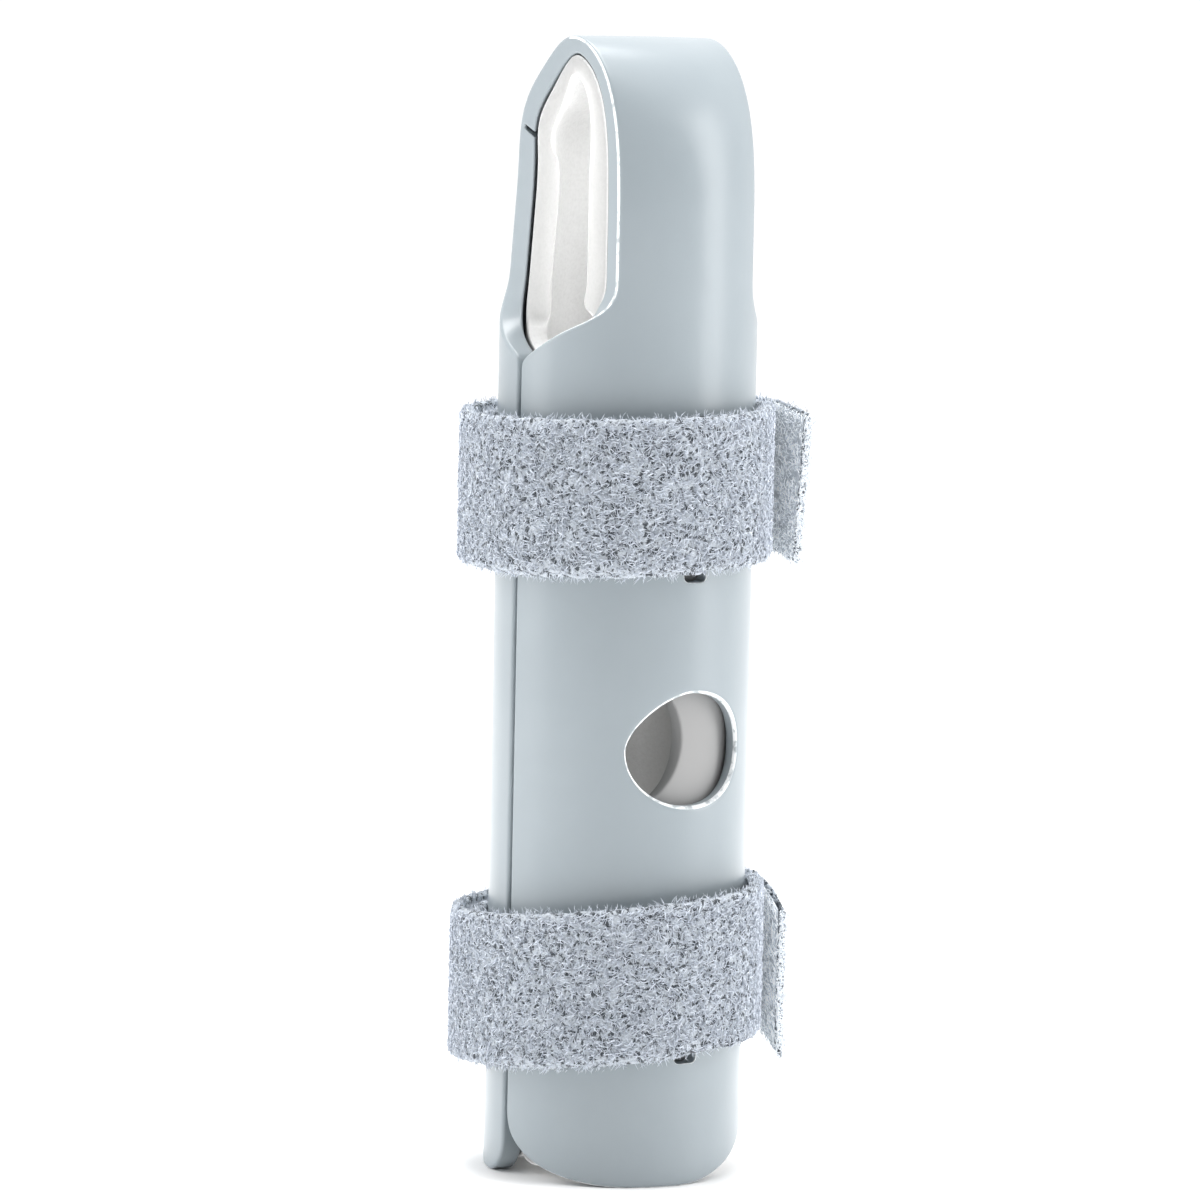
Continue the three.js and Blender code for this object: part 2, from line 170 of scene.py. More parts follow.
def make_path():
    """The outer skin's centre line from the front's foot over the tip to the back's foot:
    y, z, the way inwards, and whether it lies behind the ridge, every 0.1 mm or so."""
    rows = []

    def straight(y0, z0, y1, z1, ny, nz, back):
        count = max(2, int(math.hypot(y1 - y0, z1 - z0) / PATH_STEP))
        for t in np.linspace(0, 1, count, endpoint=False):
            rows.append((lerp(y0, y1, t), lerp(z0, z1, t), ny, nz, back))

    def arc(cy, cz, radius, a0, a1):
        count = int(radius * abs(a1 - a0) / PATH_STEP)
        for a in np.linspace(a0, a1, count, endpoint=False):
            sine, cosine = math.sin(a), math.cos(a)
            rows.append((cy + radius * sine, cz + radius * cosine, -sine, -cosine, 1.0))

    straight(-RADIUS, 0, -RADIUS, ARCH_START, 1, 0, 0)
    reach = RADIUS + RIDGE_SETBACK - RIDGE_RADIUS * math.sin(SLOPE) / 2
    arch_end = reach - RADIUS
    for t in np.linspace(0, math.pi / 2, 180, endpoint=False):
        n = np.array([math.cos(t) / reach, -math.sin(t) / ARCH_HEIGHT])
        n /= np.linalg.norm(n)
        y, z = arch_end - reach * math.cos(t), ARCH_START + ARCH_HEIGHT * math.sin(t)
        rows.append((y, z, n[0], n[1], 0.0))
    arc(arch_end, LENGTH - RIDGE_RADIUS, RIDGE_RADIUS, 0, SLOPE)
    ridge_drop = RIDGE_RADIUS * (1 - math.cos(SLOPE))
    start = np.array([arch_end + RIDGE_RADIUS * math.sin(SLOPE), LENGTH - ridge_drop])
    slope = np.array([math.cos(SLOPE), -math.sin(SLOPE)])
    lean = np.array([-math.sin(LEAN), math.cos(LEAN)])
    bend = np.array([RADIUS, LENGTH - LEAN_DROP])
    across = bend - start
    slope_length = (across[0] * lean[1] - across[1] * lean[0])
    slope_length /= slope[0] * lean[1] - slope[1] * lean[0]
    turn = math.pi / 2 - LEAN - SLOPE
    arc_start = start + slope * (slope_length - SHOULDER_RADIUS * math.tan(turn / 2))
    straight(*start, *arc_start, -math.sin(SLOPE), -math.cos(SLOPE), 1)
    centre = arc_start - SHOULDER_RADIUS * np.array([math.sin(SLOPE), math.cos(SLOPE)])
    groove_at = len(rows)
    arc(*centre, SHOULDER_RADIUS, SLOPE, SLOPE + turn)
    groove_at += int(GROOVE_ALONG * (len(rows) - groove_at))
    arc_end = centre + SHOULDER_RADIUS * np.array([math.sin(SLOPE + turn), math.cos(SLOPE + turn)])
    straight(*arc_end, *bend, -math.cos(LEAN), -math.sin(LEAN), 1)
    straight(*bend, RADIUS, 0, -1, 0, 1)
    rows.append((RADIUS, 0, -1, 0, 1.0))
    rows = np.array(rows)
    steps, weights = bell(*PATH_BLUR)
    middle = slice(steps[-1], len(rows) - steps[-1])
    for column in range(4):
        rows[middle, column] = np.convolve(rows[:, column], weights, "valid")
    s = np.concatenate([[0], np.cumsum(np.hypot(*np.diff(rows[:, :2], axis=0).T))])
    return s, rows, s[groove_at]


PATH_S, PATH, GROOVE_S = make_path()
TOTAL = PATH_S[-1]
RIDGE_S = PATH_S[np.argmax(PATH[:, 4] > 0.5)]


def along(s, column):
    return np.interp(s, PATH_S, PATH[:, column])


def half_width(s):
    z = along(s, 1)
    front = np.where(z >= CUTOUT_Z[-1], BAND_HALF, np.interp(z, CUTOUT_Z, CUTOUT_X))
    back = lerp(RADIUS, BAND_HALF, smoothstep(z, *BACK_FLARE))
    return np.where(np.asarray(s) > RIDGE_S, back, front)


def wall(s):
    return lerp(FRONT_WALL, BACK_WALL, smoothstep(s, RIDGE_S - 1.5, RIDGE_S + 1.5))


def half_angle(s, depth):
    """Half the angle that a layer spans: its edges are level on the band and square at the sides."""
    radius = RADIUS - depth
    square = np.arcsin(np.clip(half_width(s) / RADIUS, 0, 1))
    widened = np.arcsin(BAND_HALF / radius) - math.asin(BAND_HALF / RADIUS)
    end = np.where(np.asarray(s) > RIDGE_S, BACK_SQUARE_EDGE, SQUARE_EDGE)
    t = np.clip((square - LEVEL_EDGE) / (end - LEVEL_EDGE), 0, 1)
    turned = square + widened * (1 - t * t * (3 - 2 * t))
    return np.minimum(turned, np.arccos(SEAM_GAP / 2 / radius))


def place(s, a, depth, straight_walls):
    """A point of the splint's body: s along its path, a across it on the outer skin, at a depth.
    Edges and, with straight_walls, holes near the middle run parallel to the way through the wall."""
    radius = RADIUS - depth
    angle = a / RADIUS
    layer = angle * half_angle(s, depth) / half_angle(s, 0)
    if straight_walls:
        level = np.arcsin(np.clip(RADIUS * np.sin(angle) / radius, -1, 1))
        own = np.maximum(smoothstep(np.abs(angle), *HOLE_WALL_TURN), np.asarray(s) > RIDGE_S)
        layer = lerp(level, layer, own)
    z = along(s, 1)
    share = np.clip((z - ARCH_START) / ARCH_HEIGHT, 0, 1)
    drop = depth + (1 - share * share) * radius * (1 - np.cos(layer))
    x, y, z = radius * np.sin(layer), along(s, 0) + along(s, 2) * drop, z + along(s, 3) * drop
    return np.stack([x, y, z], axis=-1)


def foot_curve(corner, foot, seam_angle):
    """The lower edge from the centre line to the seam as (angle, rise) points."""
    start, rise, power, closing = corner
    count = max(1, int(start * RADIUS / OUTLINE_STEP))
    flat = [(start * t, foot) for t in np.linspace(0, 1, count, endpoint=False)]
    curve = []
    for t in np.linspace(0, math.pi / 2, 48):
        share = min(1, math.sin(t))
        height = foot + rise * (1 - (1 - share ** power) ** (1 / closing))
        curve.append((lerp(start, seam_angle, share), height))
    return flat + curve if start else curve


def outline(left, right, back, foot):
    """The body's outline as a closed loop of (s, a), its material on the left hand side."""
    seam = float(half_angle(np.array(0.0), 0))
    front_left = [(f, -angle * RADIUS) for angle, f in foot_curve(left, foot, seam)]
    front_right = [(f, angle * RADIUS) for angle, f in foot_curve(right, foot, seam)]
    rear = [(TOTAL - f, angle * RADIUS) for angle, f in foot_curve(back, foot, seam)]
    low, high = front_right[-1][0], rear[-1][0]
    side = np.arange(low + 0.3, high - 0.2, 0.2)
    right_side = [(s, RADIUS * float(half_angle(s, 0))) for s in side]
    low_left = front_left[-1][0]
    left_side = [(s, -a) for s, a in right_side if s > low_left + 0.2]
    loop = front_left[:0:-1] + front_right + right_side + rear[::-1]
    loop += [(s, -a) for s, a in rear[1:]] + left_side[::-1]
    return soften(np.array(loop))


def soften(loop):
    """The loop with its corners worn round, in even steps that are finer beside the groove."""
    fine = resample(loop, PATH_STEP)
    soft = sum(weight * np.roll(fine, step, axis=0) for step, weight in zip(*bell(*OUTLINE_BLUR)))
    coarse = int(round(OUTLINE_STEP / PATH_STEP))
    near = np.abs(soft[:, 0] - GROOVE_S) < 0.9
    return soft[near | (np.arange(len(soft)) % coarse == 0)]


def oval(half_width_mm, half_height_mm, roundness, count=96):
    """A closed oval of (x, z) with its own roundness in each quarter."""
    points = []
    for k in range(count):
        t = 2 * math.pi * k / count
        power = roundness[min(3, int(t // (math.pi / 2)))]
        c, s = math.cos(t), math.sin(t)
        points.append((
            half_width_mm * math.copysign(abs(c) ** (2 / power), c),
            half_height_mm * math.copysign(abs(s) ** (2 / power), s),
        ))
    return np.array(points)


def rounded_slot(half_w, half_h, radius, count=8):
    points = []
    for q, (sx, sz) in enumerate([(1, 1), (-1, 1), (-1, -1), (1, -1)]):
        for k in range(count + 1):
            t = math.pi / 2 * (q + k / count)
            x = sx * (half_w - radius) + radius * math.cos(t)
            points.append((x, sz * (half_h - radius) + radius * math.sin(t)))
    return np.array(points)


def resample(loop, spacing):
    closed = np.vstack([loop, loop[:1]])
    run = np.concatenate([[0], np.cumsum(np.linalg.norm(np.diff(closed, axis=0), axis=1))])
    at = np.linspace(0, run[-1], int(run[-1] / spacing), endpoint=False)
    return np.stack([np.interp(at, run, closed[:, i]) for i in range(2)], axis=1)


def into_material(loop):
    """Unit normals of a loop that point into the material on its left hand side, in (s, a)."""
    tangent = np.roll(loop, -1, axis=0) - np.roll(loop, 1, axis=0)
    tangent /= np.linalg.norm(tangent, axis=1)[:, None]
    return np.stack([-tangent[:, 1], tangent[:, 0]], axis=1)


def signed_area(loop):
    nxt = np.roll(loop, -1, axis=0)
    return 0.5 * np.sum(loop[:, 0] * nxt[:, 1] - loop[:, 1] * nxt[:, 0])


def sheet_from_outline(name, loops, rows, rounds, position, thickness):
    """A closed sheet with rounded edges. The first loop is its outline and the others are holes in it,
    all in (s, a), each with its own rounding. position(s, a, depth) places a point, thickness(s) is
    the sheet's thickness. Gives the object, how many outer faces it has, and each loop's rim faces
    with where they lie along s."""
    loops = [loop if (signed_area(loop) > 0) == (i == 0) else loop[::-1] for i, loop in enumerate(loops)]
    normals = [into_material(loop) for loop in loops]
    quarter = [(1 - math.sin(t), 1 - math.cos(t)) for t in np.linspace(0, math.pi / 2, 5)]
    inner_rings = [loop + n * r for loop, n, r in zip(loops, normals, rounds)]
    ring_step = 0.2
    second_rings = [loop + n * (r + ring_step) for loop, n, r in zip(loops, normals, rounds)]
    border = np.vstack(loops)
    width = max(loop[:, 1].max() for loop in loops)
    across = np.arange(-width, width + GRID_PITCH, GRID_PITCH)
    grid = np.array([(s, a) for s in rows for a in across])
    near = np.full(len(grid), np.inf)
    for start in range(0, len(border), 200):
        chunk = border[start:start + 200]
        near = np.minimum(near, np.linalg.norm(grid[:, None] - chunk[None], axis=2).min(axis=1))
    limit = RADIUS * half_angle(grid[:, 0], 0)
    keep = (near > max(rounds) + ring_step + GRID_PITCH * 0.45) & (np.abs(grid[:, 1]) < limit)
    grid = grid[keep & np.array([inside(p, loops) for p in grid])]
    ring_points = np.vstack(inner_rings)
    ring_edges, first = [], 0
    for ring in inner_rings:
        count = len(ring)
        ring_edges += [(first + i, first + (i + 1) % count) for i in range(count)]
        first += count
    flat = np.vstack([ring_points, np.vstack(second_rings), grid])
    result = delaunay_2d_cdt([Vector(p) for p in flat], ring_edges, [], 0, 1e-7)
    points2, faces = result[0], result[2]
    if len(points2) != len(flat):
        raise ValueError(f"{name}: the outline crosses itself")
    flat = np.array([tuple(p) for p in points2])
    centres = flat[np.array(faces)].mean(axis=1)
    faces = [f for f, c in zip(faces, centres) if inside(c, inner_rings)]
    total = len(flat)
    s, a = flat[:, 0], flat[:, 1]
    verts = [position(s, a, np.zeros(total)), position(s, a, thickness(s))]
    rims = []
    polygons = [tuple(f) for f in faces]
    polygons += [tuple(total + i for i in reversed(f)) for f in faces]
    offset, first = 2 * total, 0
    for loop, n, r in zip(loops, normals, rounds):
        count = len(loop)
        fillet = [(r * inset, r * depth) for inset, depth in quarter]
        bands = [list(range(first, first + count))]
        profile = [(inset, depth, 0) for inset, depth in fillet[1:]]
        profile += [(inset, depth, 1) for inset, depth in fillet[:0:-1]]
        for inset, depth, from_inner in profile:
            p = loop + n * inset
            t = thickness(p[:, 0])
            verts.append(position(p[:, 0], p[:, 1], t - depth if from_inner else np.full(count, depth)))
            bands.append(list(range(offset, offset + count)))
            offset += count
        bands.append(list(range(total + first, total + first + count)))
        rim = []
        for upper, lower in zip(bands, bands[1:]):
            for i in range(count):
                k = (i + 1) % count
                rim.append(len(polygons))
                polygons.append((upper[k], upper[i], lower[i], lower[k]))
        rims.append((np.array(rim).reshape(-1, count), loop[:, 0]))
        first += count
    return mesh_object(name, np.vstack(verts), polygons), len(faces), rims


def inside(point, loops):
    """Whether a point lies in the first loop and in none of the others."""
    x, y = point
    for i, loop in enumerate(loops):
        nxt = np.roll(loop, -1, axis=0)
        crosses = (loop[:, 1] > y) != (nxt[:, 1] > y)
        low, high = loop[crosses], nxt[crosses]
        at = low[:, 0] + (y - low[:, 1]) / (high[:, 1] - low[:, 1]) * (high[:, 0] - low[:, 0])
        hit = np.count_nonzero(at > x) % 2 == 1
        if hit != (i == 0):
            return False
    return True


def mesh_object(name, points, polygons, smooth=True):
    mesh = bpy.data.meshes.new(name)
    mesh.from_pydata((np.asarray(points) * MM).tolist(), [], polygons)
    mesh.polygons.foreach_set("use_smooth", [smooth] * len(mesh.polygons))
    mesh.update()
    obj = bpy.data.objects.new(name, mesh)
    bpy.context.scene.collection.objects.link(obj)
    return obj


def finish_piece(obj, material, slot, *nodes):
    obj.data.materials.append(material)
    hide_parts(*nodes)
    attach(obj, "root")
    return obj


def row_places():
    """Where the body's grid has rows: close on its curves, wide on the straight tube."""
    curved = PATH[:, 1] > LENGTH - CUTOUT_TOP - CUTOUT_FALL - 3
    rows, s = [], CURVED_ROW_STEP
    while s < TOTAL:
        rows.append(s)
        s += CURVED_ROW_STEP if curved[np.searchsorted(PATH_S, s) - 1] else STRAIGHT_ROW_STEP
    return np.array(rows)


def shell_piece(material, edge_highlight_material):
    """The shell, with the front's edges and its holes' rims in a paler material, a painted highlight."""
    loops = [outline(CORNERS["front_left"], CORNERS["front_right"], CORNERS["back"], 0)]
    hole = oval(HOLE_HALF_WIDTH, HOLE_HALF_HEIGHT, HOLE_ROUNDNESS, 720)
    loops.append(on_skin(resample(hole, 0.3), HOLE_HEIGHT))
    for strap in STRAPS.values():
        slot = rounded_slot(SLOT_WIDTH / 2, (STRAP_WIDTH + SLOT_ABOVE + SLOT_BELOW) / 2, 0.5)
        middle = strap_height(strap, 0, -RADIUS, 0, 0) + (SLOT_ABOVE - SLOT_BELOW) / 2
        loops.append(on_skin(resample(slot, 0.25), float(middle)))
    half = GROOVE_WIDTH / 2
    rows = row_places()
    rows = rows[np.abs(rows - GROOVE_S) > half + 0.3]
    groove_rows = GROOVE_S + np.arange(-half - 0.16, half + 0.17, GROOVE_ROW_STEP)
    rows = np.sort(np.concatenate([rows, groove_rows]))

    def thickness(s):
        groove = smoothstep(np.abs(s - GROOVE_S), half + 0.06, half - 0.06)
        return wall(s) * (1 - (1 - GROOVE_SKIN) * groove)

    def position(s, a, depth):
        return place(s, a, depth, True)

    rounds = [SHELL_ROUND, HOLE_ROUND, SLOT_ROUND, SLOT_ROUND]
    obj, _, rims = sheet_from_outline("shell_body", loops, rows, rounds, position, thickness)
    finish_piece(obj, material, "shell_plastic", "shell")
    obj.data.materials.append(edge_highlight_material)
    # The front's edges and the holes' rims take the paler material: a painted highlight.
    for k, (faces, s) in enumerate(rims):
        for i in faces[1 if k else 2:4, s < RIDGE_S].ravel():
            obj.data.polygons[int(i)].material_index = 1


def strap_height(strap, x, y, turns, share):
    """Where a strap's middle runs at a point, after some turns and a share of its tail."""
    rise = PLY_RISE * (smoothstep(turns, TURNS["rise"], TURNS["climb"]) - 0.5)
    slope = x * math.tan(math.radians(strap["tilt"])) - y * math.tan(math.radians(strap["pitch"]))
    return strap["height"] + slope + rise - strap["drop"] * share * share


def on_skin(loop, height):
    """A loop of (x, z) seen from the front, as (s, a) on the tube's front."""
    return np.stack([loop[:, 1] + height, RADIUS * np.arcsin(loop[:, 0] / RADIUS)], axis=1)


def lining_piece(material, outer_shade_material):
    """The foam, with its outer face and its hole's rim in a darker material that is painted shade."""
    loops = [outline(CORNERS["lining"], CORNERS["lining"], CORNERS["lining"], LINING_FOOT)]
    lining_radius = RADIUS - FRONT_WALL - LINING_GAP
    hole = resample(oval(LINING_HOLE_HALF_WIDTH, LINING_HOLE_HALF_HEIGHT, (2, 2, 2, 2), 720), 0.3)
    angle = LINING_HOLE_TURN + np.arcsin(hole[:, 0] / lining_radius)
    loops.append(np.stack([hole[:, 1] + LINING_HOLE_HEIGHT, RADIUS * angle], axis=1))

    def position(s, a, depth):
        gap = lerp(FRONT_FOAM_GAP, LINING_GAP, smoothstep(s, RIDGE_S - 3, RIDGE_S + 6))
        return place(s, a, wall(s) + gap + depth, False)

    def thickness(s):
        return np.full(np.shape(s), FOAM_THICKNESS)

    rows, rounds = row_places(), [FOAM_ROUND, FOAM_ROUND]
    obj, outer, rims = sheet_from_outline("lining_foam", loops, rows, rounds, position, thickness)
    finish_piece(obj, material, "lining_foam", "lining")
    obj.data.materials.append(outer_shade_material)
    # The outer faces and the hole's rim take the dark grey: painted shade.
    for i in [*range(outer), *rims[1][0].ravel()]:
        obj.data.polygons[int(i)].material_index = 1


# The straps

ANCHOR_RADIUS = RADIUS - FRONT_WALL - STRAP_GAP - END_THICKNESS / 2
FIRST_PLY = RADIUS + STRAP_GAP + STRAP_THICKNESS / 2
SECOND_PLY = FIRST_PLY + STRAP_THICKNESS + STRAP_GAP


class Route:
    """A strap's centre line seen from above, by its run in mm from the anchored end."""

    def __init__(self, strap):
        self.strap = strap
        rows = []

        def circle(radius, turns):
            angle = -2 * math.pi * turns
            out = (math.sin(angle), -math.cos(angle))
            rows.append((radius * out[0], radius * out[1], *out, turns, 0.0))

        def bend(cx, cy, start, sign, side):
            for k in range(9):
                angle = start + sign * math.pi / 2 * k / 8
                c, s = math.cos(angle), math.sin(angle)
                rows.append((cx + BEND_RADIUS * c, cy + BEND_RADIUS * s, side * c, side * s, 0.0, 0.0))

        first = BEND_RADIUS / ANCHOR_RADIUS / (2 * math.pi)
        for t in np.linspace(-ANCHOR_ANGLE / 360, -first, 10, endpoint=False):
            circle(ANCHOR_RADIUS, t)
        bend(BEND_RADIUS, -ANCHOR_RADIUS - BEND_RADIUS, math.pi / 2, 1, -1)
        bend(-BEND_RADIUS, -FIRST_PLY + BEND_RADIUS, 0, -1, 1)
        start = BEND_RADIUS / FIRST_PLY / (2 * math.pi)
        for t in np.linspace(start, TURNS["leave"], 260)[1:]:
            climbed = float(smoothstep(t, TURNS["climb"], TURNS["climbed"]))
            circle(lerp(FIRST_PLY, SECOND_PLY, climbed), t)
        x, y, nx, ny, turns, _ = rows[-1]
        for run in np.linspace(0, strap["tail"], 20)[1:]:
            rows.append((x, y - run, nx, ny, turns, run))
        self.rows = np.array(rows)
        self.run = np.concatenate([[0], np.cumsum(np.hypot(*np.diff(self.rows[:, :2], axis=0).T))])
        self.length = self.run[-1]

    def at(self, run):
        return np.stack([np.interp(run, self.run, self.rows[:, i]) for i in range(6)], axis=-1)

    def run_at_turns(self, turns):
        spiral = self.rows[:, 4] > 0.001
        return float(np.interp(turns, self.rows[spiral, 4], self.run[spiral]))

    def thickness(self, turns):
        full = smoothstep(turns, TURNS["start"], TURNS["full"])
        full = full - smoothstep(turns, TURNS["thin"], TURNS["thinned"])
        return lerp(END_THICKNESS, STRAP_THICKNESS, full)

    def place(self, run, across, out):
        """The point at a run along the strap, across its width, and out from its middle."""
        strap = self.strap
        rows = self.at(run)
        x, y, nx, ny, turns, tail = (rows[..., i] for i in range(6))
        share = tail / strap["tail"]
        middle = strap_height(strap, x, y, turns, share)
        skew = strap["skew"] * share * across / STRAP_WIDTH
        return np.stack([x + nx * out, y + ny * out - skew, middle + across], axis=-1)


def ribbon(name, route, runs, half_thickness, half_width, round_off, ripple=None):
    """A band with rounded edges along a route. half_thickness is a function of the turns."""
    corner = 4
    section = []
    for q, (sa, so) in enumerate([(1, 1), (-1, 1), (-1, -1), (1, -1)]):
        for k in range(corner + 1):
            t = math.pi / 2 * (q + k / corner)
            section.append((sa, so, math.cos(t), math.sin(t)))
        if q in (0, 2):
            for share in np.linspace(0, 1, 14)[1:-1]:
                section.append((sa * (1 - 2 * share), so, 0, math.sin(math.pi / 2 * (q + 1))))
    section = np.array(section)
    rings = []
    turns = route.at(runs)[:, 4]
    for run, turn in zip(runs, turns):
        ht = half_thickness(turn)
        r = min(round_off, ht * 0.95)
        across = section[:, 0] * (half_width - r) + r * section[:, 2]
        out = section[:, 1] * (ht - r) + r * section[:, 3]
        if ripple is not None:
            across, out = ripple(run, across, out)
        rings.append(route.place(np.full(len(section), run), across, out))
    count = len(section)
    polygons = []
    for i in range(len(rings) - 1):
        for j in range(count):
            k = (j + 1) % count
            polygons.append((i * count + j, i * count + k, (i + 1) * count + k, (i + 1) * count + j))
    last = (len(rings) - 1) * count
    polygons.append(tuple(range(count))[::-1])
    polygons.append(tuple(last + j for j in range(count)))
    obj = mesh_object(name, np.vstack(rings), polygons)
    return outwards(obj)


def outwards(obj):
    bm = bmesh.new()
    bm.from_mesh(obj.data)
    bmesh.ops.recalc_face_normals(bm, faces=bm.faces)
    bm.to_mesh(obj.data)
    bm.free()
    return obj


def spindles(name, paths, radii):
    """Many closed fibres as one mesh. paths is (count, 4, 3); radii is (count,)."""
    count = len(paths)
    tangent = paths[:, 2:] - paths[:, :-2]
    tangent /= np.linalg.norm(tangent, axis=2)[:, :, None]
    helper = np.where(np.abs(tangent[:, :, 2:3]) > 0.9, [[[1.0, 0, 0]]], [[[0, 0, 1.0]]])
    side = np.cross(tangent, helper)
    side /= np.linalg.norm(side, axis=2)[:, :, None]
    up = np.cross(tangent, side)
    verts = np.empty((count, 8, 3))
    verts[:, 0] = paths[:, 0]
    verts[:, 7] = paths[:, 3]
    for ring in range(2):
        for k in range(3):
            a = 2 * math.pi * k / 3
            arm = math.cos(a) * side[:, ring] + math.sin(a) * up[:, ring]
            verts[:, 1 + 3 * ring + k] = paths[:, ring + 1] + arm * radii[:, None]
    shape = []
    for k in range(3):
        n = (k + 1) % 3
        a, b, c, d = 1 + k, 1 + n, 4 + k, 4 + n
        shape += [(0, b, a), (a, b, c), (b, d, c), (7, c, d)]
    faces = (np.array(shape)[None] + 8 * np.arange(count)[:, None, None]).reshape(-1, 3)
    return mesh_object(name, verts.reshape(-1, 3), faces.tolist())


# The four points of a fibre, as shares of its length from its middle
STEPS = np.linspace(-0.5, 0.5, 4)[None]


def wandering(rng, count, runs, acrosses, lengths, curls):
    """Fibres that lie on a strap in any direction: where their four points are, along and across."""
    run = rng.uniform(*runs, count)
    across = rng.uniform(*acrosses, count)
    heading = rng.uniform(0, 2 * math.pi, count)
    length = rng.uniform(*lengths, count)
    u = length[:, None] * STEPS
    v = (rng.normal(0, curls, count) * length)[:, None] * (0.25 - STEPS ** 2)
    v = v + rng.normal(0, 0.05, (count, 4))
    c, s = np.cos(heading)[:, None], np.sin(heading)[:, None]
    return run[:, None] + c * u - s * v, across[:, None] + s * u + c * v


def loop_fibres(route, count, rng):
    """Brushed loops that lie over a strap's outer face, as paths and radii."""
    first = route.run_at_turns(FIRST_FIBRE)
    edge = STRAP_WIDTH / 2
    field = (first, route.length - 0.15), (-edge + 0.2, edge - 0.2)
    runs, acrosses = wandering(rng, count, *field, (0.4, 1.15), 0.6)
    runs = np.clip(runs, first, route.length)
    acrosses = np.clip(acrosses, -edge - 0.1, edge + 0.1)
    lift = rng.uniform(0.04, 0.24, count)
    base = rng.uniform(-0.08, 0.08, count)
    turns = route.at(runs)[..., 4]
    out = route.thickness(turns) / 2 - PILE_DEPTH + base[:, None]
    out = out + lift[:, None] * np.cos(math.pi * STEPS)
    out = out - 0.25 * smoothstep(np.abs(acrosses), edge - 0.5, edge + 0.1)
    return route.place(runs, acrosses, out), rng.uniform(0.026, 0.046, count)


def edge_fibres(route, count, rng):
    """Stray fibres that stand off a strap's two long edges."""
    run = rng.uniform(route.run_at_turns(0.03), route.length - 0.2, count)
    end = np.where(rng.random(count) < 0.5, -1, 1)
    length = 0.2 + 0.7 * rng.random(count) ** 2
    lean = rng.normal(0, 0.6, count)
    bow = rng.normal(0, 0.12, count)
    t = STEPS + 0.5
    runs = run[:, None] + lean[:, None] * length[:, None] * t + bow[:, None] * np.sin(math.pi * t)
    runs = np.clip(runs, 0, route.length)
    across = end[:, None] * (STRAP_WIDTH / 2 - 0.3 + length[:, None] * t)
    turns = route.at(runs)[..., 4]
    start = rng.uniform(-0.35, 0.4, count)[:, None] * route.thickness(turns)
    out = start + rng.normal(0, 0.18, count)[:, None] * t
    return route.place(runs, across, out), rng.uniform(0.022, 0.036, count)


def lint(route, count, rng):
    """Short fluff caught in the hooks on the tail's inner face."""
    first = route.run_at_turns(TURNS["hooks"])
    edge = STRAP_WIDTH / 2
    field = (first, route.length - 0.1), (-edge + 0.1, edge - 0.1)
    runs, acrosses = wandering(rng, count, *field, (0.3, 1.0), 0.7)
    runs = np.clip(runs, first, route.length)
    acrosses = np.clip(acrosses, -edge, edge)
    out = -rng.uniform(0.3, 0.72, count)[:, None] - 0.1 * np.cos(math.pi * STEPS)
    return route.place(runs, acrosses, out), rng.uniform(0.025, 0.045, count)


def end_fibres(route, count, rng):
    """Cut fibre ends that brush out of the strap's free end."""
    across = rng.uniform(-STRAP_WIDTH / 2 + 0.1, STRAP_WIDTH / 2 - 0.1, count)
    start = rng.uniform(-0.45, 0.6, count)
    length = rng.uniform(0.15, 0.5, count)
    t = STEPS + 0.5
    across = across[:, None] + rng.normal(0, 0.25, count)[:, None] * t
    points = route.place(np.full((count, 4), route.length), across, start[:, None] + 0 * t)
    points[..., 1] -= (length[:, None] - 0.1) * t - 0.12
    points[..., 0] += rng.normal(0, 0.16, count)[:, None] * t
    return points, rng.uniform(0.035, 0.055, count)


def joined(*groups):
    """Several groups of fibres, each as paths and radii, as one."""
    return [np.concatenate(values) for values in zip(*groups)]


def strap_pieces(name, strap, band_material, fibre_material, lint_glow_material, hook_glow_material):
    """One strap: its woven band, the loops and stray fibres on it, and its tail's lint and hook tape."""
    route = Route(strap)
    rng = np.random.default_rng(strap["seed"])
    wave = rng.uniform(0, 2 * math.pi, 6)

    def ripple(run, across, out):
        edge = np.sign(across) * smoothstep(np.abs(across), STRAP_WIDTH / 2 - 1.5, STRAP_WIDTH / 2)
        wander = 0.05 * math.sin(run * 1.9 + wave[0]) + 0.04 * math.sin(run * 4.3 + wave[1])
        return across + edge * wander, out + 0.03 * np.sin(run * 1.3 + across * 0.9 + wave[2])

    def half(turn):
        pile = PILE_DEPTH * float(smoothstep(turn, TURNS["start"], TURNS["full"]))
        return float(route.thickness(turn)) / 2 - pile

    runs = np.linspace(0, route.length, 330)
    body = ribbon(f"{name}_strap_band", route, runs, half, STRAP_WIDTH / 2 - 0.08, 0.3, ripple)
    finish_piece(body, band_material, "strap_loop", f"{name}_strap")
    pile = spindles(f"{name}_strap_loops", *loop_fibres(route, FIBRES["loops"], rng))
    finish_piece(pile, fibre_material, "strap_loop", f"{name}_strap")
    fibres = joined(loop_fibres(route, FIBRES["fuzz"], rng), edge_fibres(route, FIBRES["edge"], rng))
    fuzz = spindles(f"{name}_strap_fuzz", *fibres)
    finish_piece(fuzz, fibre_material, "strap_loop", f"{name}_strap")
    fibres = joined(lint(route, FIBRES["lint"], rng), end_fibres(route, FIBRES["end"], rng))
    tail = spindles(f"{name}_strap_tail_lint", *fibres)
    finish_piece(tail, lint_glow_material, "strap_loop", f"{name}_strap")
    hook_piece(name, route, hook_glow_material)


